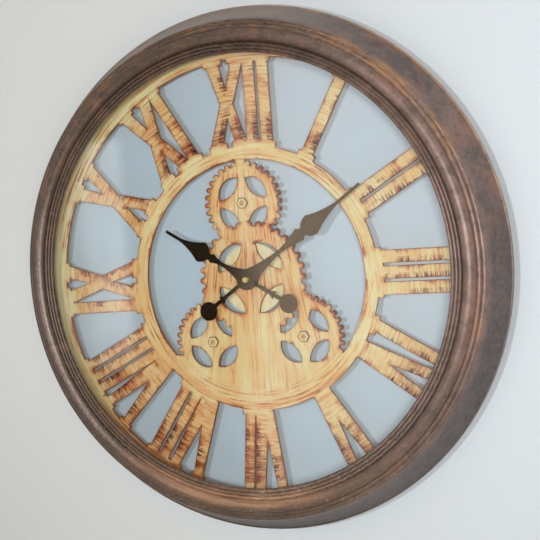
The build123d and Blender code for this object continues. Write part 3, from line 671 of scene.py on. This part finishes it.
def scorchedWood():
    # cream wood with tan grain, then rust and char that grow from the cuts, the teeth and the numerals' ends
    made, w, shader = newFinish("scorched_wood", {"Specular IOR Level": 0.25})
    x, y, z = place(w)
    up = z - dial["axis"]
    radius = span(x, up)
    dirX, dirZ = x / radius, up / radius
    edge = w.node("ShaderNodeAttribute", {"attribute_name": "edgeDistance"}, out="Fac") / mm
    lean = w.node("ShaderNodeAttribute", {"attribute_name": "edgeLean"}, out="Fac")
    flat = vector(w, x, 0.0, up)
    cloud = noise(w, flat, *grain["cloud"])
    blotch = noise(w, flat, *grain["blotch"])
    drift = noise(w, vector(w, x, grain["driftLevel"], up), *grain["drift"])
    rounded = (radius + (cloud - 0.5) * wood["ringWobble"]).above(*wood["ringFrom"])
    gear = 1 - rounded
    outsideRing = radius.above(*wood["numeralsFrom"])
    numeral = outsideRing * (1 - radius.above(*wood["numeralsTo"]))
    ring = rounded * (1 - outsideRing)
    west = x.above(*wood["warmFrom"])
    lowGear = gear * up.above(*wood["lowGears"])
    # Grain: upright and a little fanned on the gears, round on the ring and the margin
    fan = x / (wood["fanFrom"] - up) * wood["fanSpread"]

    def upright(across, along, level, *more):
        return noise(w, vector(w, fan * across, level, up * along), 1.0, *more)

    def ringGrain(name):
        return ringed(w, dirX, radius, dirZ, *grain[name])

    fine = gear * upright(*grain["fineUpright"]) + rounded * ringGrain("fineRing")
    broad = gear * upright(*grain["broadUpright"]) + rounded * ringGrain("broadRing")
    colour = mix(w, cloud.above(*scorch["honeyCloud"]), wood["cream"], wood["honey"])
    # Painted light: the margin paler and greener towards the upper left, for the cool light that falls under
    # the lip
    margin = radius.above(*wood["marginFrom"])
    aimX, aimZ = clockPoint(1.0, wood["paintedLightAngle"])
    pale = margin * (dirX * aimX + dirZ * aimZ).above(*wood["paintedLightSpread"])
    colour = mix(w, pale * 0.8, colour, wood["paintedCoolLight"])
    slope = up * wood["slope"][1] + x * wood["slope"][0]
    colour = mix(w, ring * slope.above(*wood["ringTan"]) * 0.25, colour, wood["tan"])
    calm = 1 - 0.6 * numeral - 0.3 * ring * slope.above(*wood["ringCalm"]) - 0.5 * lowGear
    warm = gear * (0.1 + 0.4 * drift.above(*scorch["warmDrift"])) * (1 - 0.7 * lowGear)
    warm = warm + numeral * (0.08 + 0.32 * west) + 0.5 * (margin - pale)
    colour = mix(w, warm, colour, wood["tan"])
    rusty = (margin - pale) * up.above(*wood["rustyMargin"])
    rusty = rusty * (0.3 + 0.7 * blotch.above(*scorch["rustyBlotch"]))
    colour = mix(w, rusty * (0.35 + 0.45 * fine.above(*scorch["rustyFine"])), colour, wood["rust"])
    colour = mix(w, broad.above(*scorch["tanBroad"]) * (0.7 - 0.35 * pale) * calm, colour, wood["tan"])
    hot = drift.above(*scorch["hotDrift"])
    streak = 0.2 + 0.4 * broad.above(*scorch["amberBroad"]) + 0.25 * hot
    colour = mix(w, fine.above(*scorch["amberFine"]) * streak * calm, colour, wood["amber"])
    colour = mix(w, fine.above(*scorch["rustFine"]) * (0.08 + 0.7 * hot) * calm, colour, wood["rust"])
    # Rusty stains that grow from the cut edges
    least, more = scorch["stain"]
    reach = least + more * blotch.above(*scorch["stainBlotch"])
    stain = (1 - edge.above(0.0, reach)) * (1 - 0.6 * lowGear)
    colour = mix(w, stain * (0.3 + 0.6 * fine.above(*scorch["stainFine"])), colour, wood["amber"])
    singe = (1 - edge.above(0.0, reach * scorch["singe"])) * drift.above(*scorch["singeDrift"])
    colour = mix(w, singe * (0.35 + 0.65 * fine.above(*scorch["singeFine"])), colour, wood["rust"])
    # Teeth: burnt towards the tips, most at the right of each gear
    rims = []
    for (gearX, gearZ), root, tip in gears.values():
        dx, dz = x - gearX, up - gearZ
        out = span(dx, dz)
        beyond = out.above(*(tip + past for past in wood["toothEnd"]))
        rim = out.above(root - wood["toothRoot"], tip) * (1 - beyond)
        rims.append(rim * (0.55 + 0.55 * (dx / out).above(*wood["toothRight"])))
    teeth = reduce(Wire.atLeast, rims)
    brown = (1 - edge.above(*scorch["tooth"])) * (0.3 + 0.9 * drift.above(*scorch["toothDrift"])) * gear
    colour = mix(w, (teeth * brown).atMost(1.0), colour, wood["amber"])
    charred = (drift + 0.05 * teeth).above(*scorch["charDrift"])
    charred = teeth * (1 - edge.above(*scorch["toothChar"])) * charred * gear
    colour = mix(w, charred.atMost(1.0), colour, wood["rust"])
    colour = mix(w, (teeth * charred * drift.above(*scorch["burntDrift"])).atMost(1.0), colour, wood["burnt"])
    # Numerals: plank-like patches and fine lines across the strokes, dark at the clockwise edges
    plank, hatch, gash = (ringGrain(name) for name in ("plank", "hatch", "gash"))
    colour = mix(w, plank.above(*scorch["amberPlank"]) * numeral * (0.05 + 0.28 * west), colour, wood["amber"])
    colour = mix(w, hatch.above(*scorch["amberHatch"]) * numeral * (0.12 + 0.3 * west), colour, wood["amber"])
    colour = mix(w, hatch.above(*scorch["rustHatch"]) * numeral * (0.06 + 0.34 * west), colour, wood["rust"])
    inner = radius.above(*wood["innerEnds"]) * up.above(*wood["highNumerals"]) * numeral
    ends = inner + radius.above(*wood["outerEnds"]) * up.above(*wood["lowNumerals"]) * numeral
    burn = ends * blotch.above(*scorch["endBlotch"]) * (0.25 + 0.55 * hatch.above(*scorch["endHatch"]))
    colour = mix(w, burn, colour, wood["rust"])
    side = 0.12 + 0.88 * lean.above(*scorch["sideLean"])
    patch = (blotch + 0.12 * ends).above(*scorch["deepPatch"])
    least, more = scorch["deep"]
    deep = (1 - edge.above(0.0, least + more * patch)) * (0.2 + 0.8 * patch) * side * numeral
    deep = deep * (0.3 + 0.7 * hatch.above(*scorch["deepHatch"])) * (0.4 + 0.6 * west)
    colour = mix(w, deep, colour, wood["rust"])
    spots = (drift + 0.12 * ends + 0.1 * inner).above(*scorch["cutSpots"])
    least, more = scorch["cut"]
    cut = (1 - edge.above(scorch["cutStart"], least + more * spots)) * (0.16 + 0.84 * spots) * side * numeral
    colour = mix(w, (gash + 0.05 * inner).above(*scorch["burntGash"]) * cut * 0.9, colour, wood["burnt"])
    deepest = (gash + 0.04 * inner).above(*scorch["charGash"]) * cut * (0.4 + 0.6 * ends)
    colour = mix(w, deepest, colour, wood["char"])
    # Thin dark line along every cut
    line = (1 - edge.above(*scorch["line"])) * (0.1 + 0.5 * drift.above(*scorch["lineDrift"]))
    colour = mix(w, line, colour, wood["burnt"])
    # Cut sides are brown, and the back is bare board
    thin, thick = wood["skin"]
    fibre = noise(w, vector(w, x, y, z), *grain["fibre"])
    bare = mix(w, (0.6 * fibre + 0.4 * blotch).above(*scorch["boardFibre"]), *wood["board"])
    colour = mix(w, y.above(dial["front"] + thin, dial["front"] + thick), colour, wood["cutSide"])
    colour = mix(w, y.above(dial["back"] - thick, dial["back"] - thin), colour, bare)
    feed(colour, shader, "Base Color")
    feed(wood["rough"][0] + wood["rough"][1] * fine, shader, "Roughness")
    feed(bump(w, fine + 0.5 * hatch * numeral, *wood["relief"]), shader, "Normal")
    return made


makeDial(scorchedWood())


# Bezel: antique bronze paint, worn to copper and gold on its crests

bronze = {
    "dark": shade(64, 48, 38),
    "olive": shade(90, 72, 56),
    "brown": shade(112, 84, 66),
    "plum": shade(142, 116, 107),
    "slate": shade(84, 79, 80),
    "copper": shade(154, 106, 76),
    "tarnish": shade(136, 110, 86),
    "gold": shade(204, 150, 82),
    "fleck": shade(206, 172, 150),
    "leftHighlight": shade(176, 156, 150),
    "highlightCopper": shade(192, 144, 110),
    "topHighlight": shade(166, 149, 138),
    # Radii: middle and width, or from and to
    "beads": ((281.8 * mm, 2.0 * mm), (276.8 * mm, 2.0 * mm)),
    "flank": (283 * mm, 288 * mm),
    "groove": (258.5 * mm, 2.2 * mm),
    "inner": (259 * mm, 255 * mm),          # fine beads, darker than the rest
    "rim": (301.7 * mm, 0.4 * mm),
    "footHighlight": (260 * mm, 6.0 * mm),           # painted highlight, copper-coloured, on the round at the foot
    "shadow": (264 * mm, 272 * mm),         # darker outside it
    "leftDark": (266 * mm, 269.5 * mm),     # the outside of the round at the left
    "crest": (264.0 * mm, 2.8 * mm),        # painted highlight along the round at the left, in flecks
    # Sides: angle from twelve, then the cosines between which a tone comes in
    "goldSide": (46.0, 0.88, 0.98),
    "topWear": (-8.0, 0.8, 0.97),
    "topLightSide": (-8.0, 0.75, 0.97),
    "plumSide": (80.0, -0.1, 0.8),
    "darkSide": (-28.0, 0.2, 0.95),
    "shadedSide": (140.0, 0.3, 0.9),
    "shadedFoot": (140.0, 0.8, 0.97),
    "lowSide": (186.0, 0.6, 0.95),
    "lowFoot": (186.0, 0.8, 0.97),
    "leftSide": (255.0, 0.6, 0.95),
    "leftHighlightSide": (255.0, 0.7, 0.95),
    # Noises: scale, detail, roughness, distortion
    "cloud": (9.0, 4.0, 0.6),
    "patch": (34.0, 5.0, 0.62, 0.3),
    "grit": (300.0, 4.0, 0.65),
    "mottle": (60.0, 6.0, 0.75),
    "speck": (170.0, 5.0, 0.72),
    # rate round and across the ring, detail, roughness
    "rubbed": (6.0, 260.0, 4.0, 0.6),
    "scratch": (16.0, 1500.0, 2.0, 0.5),
    # noise values between which a tone comes in
    "brownPatch": (0.4, 0.62),
    "plumPatch": (0.35, 0.6),
    "rimPatch": (0.38, 0.6),
    "slateCloud": (0.36, 0.58),
    "lowCloud": (0.42, 0.55),
    "copperRub": (0.26, 0.36),
    "goldRub": (0.36, 0.6),
    "emberRub": (0.4, 0.6),
    "goldScratch": (0.46, 0.6),
    "darkMottle": (0.46, 0.66),
    "copperMottle": (0.46, 0.36),
    "darkSpeck": (0.5, 0.64),
    "tarnishSpeck": (0.47, 0.37),
    "tarnishGrit": (0.48, 0.62),
    "fleckGrit": (0.6, 0.68),
    "leftHighlightGrit": (0.4, 0.6),
    "relief": (0.25, 0.4 * mm),
}


def bronzePatina():
    # brown and olive patches, a plum side, slate patches and a slate side that is painted shade, dark grooves,
    # worn metal on the crests, and painted highlights
    made, w, shader = newFinish("bronze_patina", {"Specular IOR Level": 0.5, "Metallic": 0.15})
    x, y, z = place(w)
    radius = span(x, z)
    dirX, dirZ = x / radius, z / radius
    spot = vector(w, x, y, z)
    noises = ("cloud", "patch", "grit", "mottle", "speck")
    cloud, patch, grit, mottle, speck = (noise(w, spot, *bronze[name]) for name in noises)
    rubbed = ringed(w, dirX, radius - y, dirZ, *bronze["rubbed"])
    scratch = ringed(w, dirX, radius, dirZ, *bronze["scratch"])

    def towards(name):
        angle, low, high = bronze[name]
        aimX, aimZ = clockPoint(1.0, angle)
        return (dirX * aimX + dirZ * aimZ).above(low, high)

    flank = radius.above(*bronze["flank"])
    # painted shade: the flank on the lower right turned dark slate, with no copper on it; elsewhere slate
    # comes in patches
    shaded = towards("shadedSide")
    lit = 1 - flank * shaded
    colour = mix(w, patch.above(*bronze["brownPatch"]), bronze["olive"], bronze["brown"])
    plum = towards("plumSide") * (0.5 + 0.5 * patch.above(*bronze["plumPatch"]))
    colour = mix(w, plum, colour, bronze["plum"])
    colour = mix(w, (1 - flank) * towards("darkSide") * 0.35, colour, bronze["dark"])
    slate = cloud.above(*bronze["slateCloud"]) * 0.7 * (1 - shaded) + 0.85 * shaded
    colour = mix(w, flank * slate, colour, bronze["slate"])
    colour = mix(w, (patch * rubbed).above(*bronze["copperRub"]) * 0.45 * lit, colour, bronze["copper"])
    colour = mix(w, mottle.above(*bronze["darkMottle"]) * 0.4, colour, bronze["dark"])
    colour = mix(w, mottle.above(*bronze["copperMottle"]) * 0.3 * lit, colour, bronze["copper"])
    colour = mix(w, speck.above(*bronze["darkSpeck"]) * 0.35, colour, bronze["dark"])
    colour = mix(w, speck.above(*bronze["tarnishSpeck"]) * 0.25, colour, bronze["tarnish"])
    grooves = radius.above(*bronze["inner"]) * 0.25 + radius.near(*bronze["groove"]) * 0.6
    colour = mix(w, grooves, colour, bronze["dark"])
    # Gold on the two outer beads and on the rim, most at the upper right
    crest = reduce(Wire.atLeast, [radius.near(*bead) for bead in bronze["beads"]])
    worn = 0.1 + 0.9 * towards("goldSide") + 0.5 * towards("topWear")
    wear = crest * worn * scratch.above(*bronze["goldScratch"]) * rubbed.above(*bronze["goldRub"])
    colour = mix(w, wear.atMost(1.0), colour, bronze["gold"])
    edge = radius.near(*bronze["rim"]) * (0.1 + 0.6 * patch.above(*bronze["rimPatch"])) * (1 - shaded)
    colour = mix(w, edge, colour, bronze["gold"])
    # Painted highlight on the top flank with a darker round there, tarnish at the foot with a painted copper
    # highlight and painted shadow, and a painted highlight along the round at the left
    top = towards("topLightSide")
    # painted highlight: the top of the flank lighter, as lit from above; the round below it darker
    colour = mix(w, top * flank * 0.5, colour, bronze["topHighlight"])
    colour = mix(w, top * (1 - flank) * 0.3, colour, bronze["dark"])
    low = towards("lowSide") * (0.3 + 0.7 * cloud.above(*bronze["lowCloud"]))
    under = towards("lowFoot")
    dull = low * 0.3 + grit.above(*bronze["tarnishGrit"]) * (0.1 + 0.5 * low)
    colour = mix(w, dull * (1 - 0.8 * flank), colour, bronze["tarnish"])
    # painted highlight on the round at the foot, patchy with the rubbing
    footHighlight = under * radius.near(*bronze["footHighlight"]) * (0.35 + 0.4 * rubbed.above(*bronze["emberRub"]))
    colour = mix(w, footHighlight, colour, bronze["highlightCopper"])
    colour = mix(w, under * radius.above(*bronze["shadow"]) * 0.5, colour, bronze["dark"])
    outside = 0.15 + 0.45 * radius.above(*bronze["leftDark"])
    colour = mix(w, towards("leftSide") * outside, colour, bronze["dark"])
    # painted shade on the round at the lower right
    colour = mix(w, (1 - flank) * towards("shadedFoot") * 0.3, colour, bronze["dark"])
    flecks = grit.above(*bronze["fleckGrit"]) * (0.2 + 0.4 * low) * (1 - 0.7 * flank)
    colour = mix(w, flecks, colour, bronze["fleck"])
    # painted highlight: a silvery band along the round at the left, broken by grit
    left = radius.near(*bronze["crest"]) * towards("leftHighlightSide")
    colour = mix(w, left * (0.2 + 0.35 * grit.above(*bronze["leftHighlightGrit"])), colour, bronze["leftHighlight"])
    feed(colour, shader, "Base Color")
    feed(0.27 + 0.18 * grit + 0.1 * mottle, shader, "Roughness")
    feed(bump(w, grit + 1.2 * mottle, *bronze["relief"]), shader, "Normal")
    return made


dress(bronzePatina(), "bezel")
print("bezel painted")


# Glass: clear, and only a tint for the light that falls through it

glass = {
    "tint": (0.93, 0.955, 0.97, 1.0),
    "passing": (0.945, 0.958, 0.968, 1.0),
    "bend": 1.45,
}


def windowGlass():
    made, w, shader = newFinish("window_glass", {
        "Base Color": glass["tint"], "Roughness": 0.0, "IOR": glass["bend"], "Transmission Weight": 1.0})
    clear = w.node("ShaderNodeBsdfTransparent", inputs={"Color": glass["passing"]})
    mixed = Wire(w.tree, shader.outputs[0])
    for kind in ("Is Diffuse Ray", "Is Shadow Ray"):
        mixed = mixShaders(w, ray(w, kind), mixed, clear)
    showInstead(made, mixed)
    return made


dress(windowGlass(), "glass")


# Bolt heads: pale, with a dark line round the hexagon and a rusty middle

bolt = {
    "gears": ("top", "lowLeft", "lowRight"),
    "flats": 12.4 * mm,
    "turns": (30, 90, 150),
    "line": 1.3 * mm,
    "middle": 3.2 * mm,
    "middleEdge": (1.4, 0.6),
    "stretch": (3.0, 0.5),
    "grain": (160.0, 4.0, 0.6),
    "honeyFrom": (0.35, 0.65),
    "relief": (0.3, 0.2 * mm),
}


def boltPaint():
    made, w, shader = newFinish("bolt_paint", {"Specular IOR Level": 0.3})
    x, y, z = place(w)
    up = z - dial["axis"]
    flats, aways = [], []
    for name in bolt["gears"]:
        boltX, boltZ = gears[name][0]
        dx, dz = x - boltX, up - boltZ
        turns = [math.radians(turn) for turn in bolt["turns"]]
        sides = [w.maths("ABSOLUTE", dx * math.cos(turn) + dz * math.sin(turn)) for turn in turns]
        flats.append(reduce(Wire.atLeast, sides))
        aways.append(span(dx, dz))
    flat, away = reduce(Wire.atMost, flats), reduce(Wire.atMost, aways)
    streak = noise(w, vector(w, x * bolt["stretch"][0], y, z * bolt["stretch"][1]), *bolt["grain"])
    colour = mix(w, streak.above(*bolt["honeyFrom"]), wood["cream"], wood["honey"])
    middle = away.above(*(bolt["middle"] * share for share in bolt["middleEdge"]))
    colour = mix(w, middle * 0.6, colour, wood["rust"])
    half, line = bolt["flats"] / 2, bolt["line"]
    colour = mix(w, flat.above(half - line, half - line * 0.5) * 0.8, colour, wood["burnt"])
    feed(colour, shader, "Base Color")
    feed(0.42 + 0.2 * streak, shader, "Roughness")
    feed(bump(w, streak, *bolt["relief"]), shader, "Normal")
    return made


dress(boltPaint(), "gear_bolts")


# Plain finishes, each with its own grain

finishes = {
    "hand_metal": {
        "nodes": ("hour_hand", "minute_hand"), "fixed": {"Metallic": 1.0},
        "shades": (shade(104, 80, 50), shade(116, 92, 60)),
        "scale": 60.0, "rough": (0.07, 0.06), "relief": 0.02 * mm},
    "brass": {
        "nodes": ("fixing_nut", "brass_washer", "threaded_bushing", "minute_wheel", "battery_contacts"),
        "fixed": {"Metallic": 1.0}, "shades": (shade(220, 176, 92), shade(248, 216, 136)),
        "scale": 300.0, "rough": (0.14, 0.14), "relief": 0.05 * mm},
    # painted highlight: a paler brass than the other brass parts, for the nut's bright highlight
    "nut_brass_highlight": {
        "nodes": ("hand_nut",), "fixed": {"Metallic": 0.6},
        "shades": (shade(250, 214, 112), shade(255, 234, 150)),
        "scale": 300.0, "rough": (0.24, 0.1), "relief": 0.03 * mm},
    "steel": {
        "nodes": ("ring_screws", "hanger_plate", "hanger_screws", "gear_bolt_nuts", "stator", "step_rotor"),
        "fixed": {"Metallic": 1.0}, "shades": (shade(168, 170, 173), shade(192, 194, 196)),
        "scale": 260.0, "stretch": (6, 1, 1), "rough": (0.3, 0.12), "relief": 0.03 * mm},
    "back_board": {
        "nodes": ("back_ring",), "shades": (shade(126, 94, 62), shade(160, 124, 86)),
        "scale": 90.0, "stretch": (1, 3, 1), "rough": (0.6, 0.2), "relief": 0.3 * mm},
    "disc_wood": {
        "nodes": ("backing_disc",), "shades": (shade(234, 210, 148), shade(250, 232, 182)),
        "scale": 60.0, "stretch": (5, 1, 0.6), "rough": (0.5, 0.15), "relief": 0.2 * mm},
    "black_plastic": {
        "nodes": ("movement_case", "movement_cover"), "shades": (shade(22, 22, 23), shade(34, 34, 35)),
        "scale": 900.0, "rough": (0.42, 0.16), "relief": 0.1 * mm},
    "pale_wood": {
        "nodes": ("glass_retainer",), "shades": (shade(238, 232, 172), shade(248, 243, 190)),
        "scale": 40.0, "stretch": (1, 6, 1), "rough": (0.5, 0.2), "relief": 0.1 * mm},
    "white_plastic": {
        "nodes": ("hour_wheel", "motion_wheel", "third_wheel", "set_knob"),
        "shades": (shade(222, 220, 212), shade(236, 234, 228)),
        "scale": 260.0, "rough": (0.4, 0.15), "relief": 0.1 * mm},
    "rubber": {
        "nodes": ("rubber_washer",), "shades": (shade(24, 24, 25), shade(38, 38, 38)),
        "scale": 700.0, "rough": (0.7, 0.2), "relief": 0.2 * mm},
    "felt": {
        "nodes": ("wall_bumpers",), "fixed": {"Sheen Weight": 0.5},
        "shades": (shade(88, 66, 48), shade(122, 94, 70)),
        "scale": 1400.0, "rough": (0.9, 0.1), "relief": 0.6 * mm},
    "copper_wire": {
        "nodes": ("coil",), "fixed": {"Metallic": 1.0},
        "shades": (shade(140, 70, 36), shade(206, 118, 70)),
        "scale": 40.0, "stretch": (60, 1, 1), "rough": (0.25, 0.2), "relief": 0.2 * mm},
    "board_green": {
        "nodes": ("circuit_board",), "shades": (shade(22, 78, 44), shade(44, 110, 62)),
        "scale": 320.0, "rough": (0.35, 0.15), "relief": 0.1 * mm},
    "battery_skin": {
        "nodes": ("battery",), "fixed": {"Metallic": 0.6},
        "shades": (shade(38, 42, 52), shade(70, 76, 90)),
        "scale": 120.0, "rough": (0.3, 0.1), "relief": 0.05 * mm},
}
speckle = {
    "coarse": (5.0, 0.6),
    "fine": (3.0, 0.6),
    "finer": 6.0,               # times the scale of the coarse noise
    "lightFrom": (0.38, 0.62),
    "strength": 0.4,
}


def grainy(name, finish):
    # two shades mixed by a noise, with roughness and relief from the same noise
    made, w, shader = newFinish(name, finish.get("fixed", {}))
    where = vector(w, *(part * times for part, times in zip(place(w), finish.get("stretch", (1, 1, 1)))))
    coarse = noise(w, where, finish["scale"], *speckle["coarse"])
    fine = noise(w, where, finish["scale"] * speckle["finer"], *speckle["fine"])
    light = (0.7 * coarse + 0.3 * fine).above(*speckle["lightFrom"])
    feed(mix(w, light, *finish["shades"]), shader, "Base Color")
    feed(finish["rough"][0] + finish["rough"][1] * coarse, shader, "Roughness")
    feed(bump(w, coarse + 0.5 * fine, speckle["strength"], finish["relief"]), shader, "Normal")
    return made


for name, finish in finishes.items():
    dress(grainy(name, finish), *finish["nodes"])
print("small finishes set")
